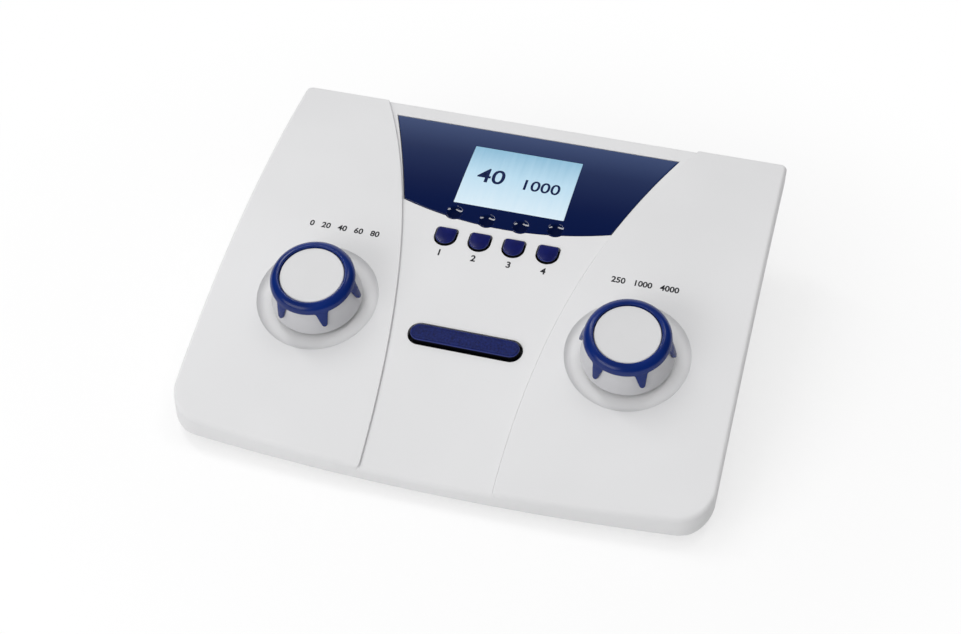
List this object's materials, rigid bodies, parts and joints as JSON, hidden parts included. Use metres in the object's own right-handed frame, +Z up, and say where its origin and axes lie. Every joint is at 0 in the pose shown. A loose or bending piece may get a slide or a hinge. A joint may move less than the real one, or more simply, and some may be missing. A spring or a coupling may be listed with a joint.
{
  "type": "portable audiometer",
  "caption": "Wedge-shaped desk audiometer with large dials, a display window, soft keys, a tone bar and sockets at the back.",
  "frame": {"origin": "on the table, under the middle of the bounding box, at the height of the feet", "axes": "+X to the right seen from the user, +Y to the back edge, +Z up"},
  "size_m": [0.225, 0.188, 0.0566],
  "materials": {
    "case_plastic": "fine satin moulding, pale warm grey",
    "dial_plastic": "smooth satin, pale grey",
    "royal_blue": "glossy royal blue",
    "navy_plastic": "fine grained dark navy",
    "navy_lens": "polished dark navy lens",
    "lcd_glass": "pale blue display glass, opaque from behind",
    "dark_plastic": "satin black",
    "foot_rubber": "matte black rubber",
    "steel": "nickel plated steel",
    "circuit_board": "green solder mask"
  },
  "bodies": {
    "case": {"top_cover": "case_plastic", "bottom_shell": "case_plastic", "rear_panel": "dark_plastic", "foot_front_left": "foot_rubber", "foot_front_right": "foot_rubber", "foot_rear_left": "foot_rubber", "foot_rear_right": "foot_rubber", "case_screw_front_left": "steel", "case_screw_front_right": "steel", "case_screw_rear_left": "steel", "case_screw_rear_right": "steel", "display_window": "navy_lens", "lcd_glass": "lcd_glass", "lcd_frame": "steel", "display_board": "circuit_board", "key_switch_1": "dark_plastic", "key_switch_2": "dark_plastic", "key_switch_3": "dark_plastic", "key_switch_4": "dark_plastic", "key_board": "circuit_board", "tone_switch_left": "dark_plastic", "tone_switch_right": "dark_plastic", "left_encoder_body": "dark_plastic", "left_encoder_nut": "steel", "right_encoder_body": "dark_plastic", "right_encoder_nut": "steel", "control_board": "circuit_board", "main_board": "circuit_board", "board_screw_1": "steel", "board_screw_2": "steel", "board_screw_3": "steel", "board_screw_4": "steel", "phone_left_jack": "dark_plastic", "phone_left_jack_nut": "steel", "phone_right_jack": "dark_plastic", "phone_right_jack_nut": "steel", "response_jack": "dark_plastic", "response_jack_nut": "steel", "usb_socket": "steel", "power_inlet": "dark_plastic", "inlet_pin": "steel", "rocker_frame": "dark_plastic"},
    "left_dial": {"left_knob_skirt": "dial_plastic", "left_knob_crown": "royal_blue", "left_knob_cap": "dial_plastic", "left_encoder_shaft": "steel"},
    "right_dial": {"right_knob_skirt": "dial_plastic", "right_knob_crown": "royal_blue", "right_knob_cap": "dial_plastic", "right_encoder_shaft": "steel"},
    "soft_key_1": {"key_1": "navy_plastic"},
    "soft_key_2": {"key_2": "navy_plastic"},
    "soft_key_3": {"key_3": "navy_plastic"},
    "soft_key_4": {"key_4": "navy_plastic"},
    "tone_key": {"tone_bar": "navy_plastic"},
    "power_switch": {"power_rocker": "dark_plastic"}
  },
  "joints": [
    {"name": "left_dial_turn", "type": "hinge", "parent": "case", "child": "left_dial", "pos_m": [-0.0662, -0.0276, 0.03627], "axis": [0, -0.284, 0.9588], "continuous": true},
    {"name": "right_dial_turn", "type": "hinge", "parent": "case", "child": "right_dial", "pos_m": [0.0662, -0.0276, 0.03627], "axis": [0, -0.284, 0.9588], "continuous": true},
    {"name": "key_1_press", "type": "slide", "parent": "case", "child": "soft_key_1", "axis": [0, 0.1872, -0.9823], "range_m": [0, 0.0012], "stiffness_N_per_m": 800},
    {"name": "key_2_press", "type": "slide", "parent": "case", "child": "soft_key_2", "axis": [0, 0.1872, -0.9823], "range_m": [0, 0.0012], "stiffness_N_per_m": 800},
    {"name": "key_3_press", "type": "slide", "parent": "case", "child": "soft_key_3", "axis": [0, 0.1872, -0.9823], "range_m": [0, 0.0012], "stiffness_N_per_m": 800},
    {"name": "key_4_press", "type": "slide", "parent": "case", "child": "soft_key_4", "axis": [0, 0.1872, -0.9823], "range_m": [0, 0.0012], "stiffness_N_per_m": 800},
    {"name": "tone_bar_press", "type": "slide", "parent": "case", "child": "tone_key", "axis": [0, 0.284, -0.9588], "range_m": [0, 0.0016], "stiffness_N_per_m": 600},
    {"name": "power_rock", "type": "hinge", "parent": "case", "child": "power_switch", "pos_m": [0.054, 0.0844, 0.0187], "axis": [0, 0, -1], "range_deg": [0, 18]}
  ]
}
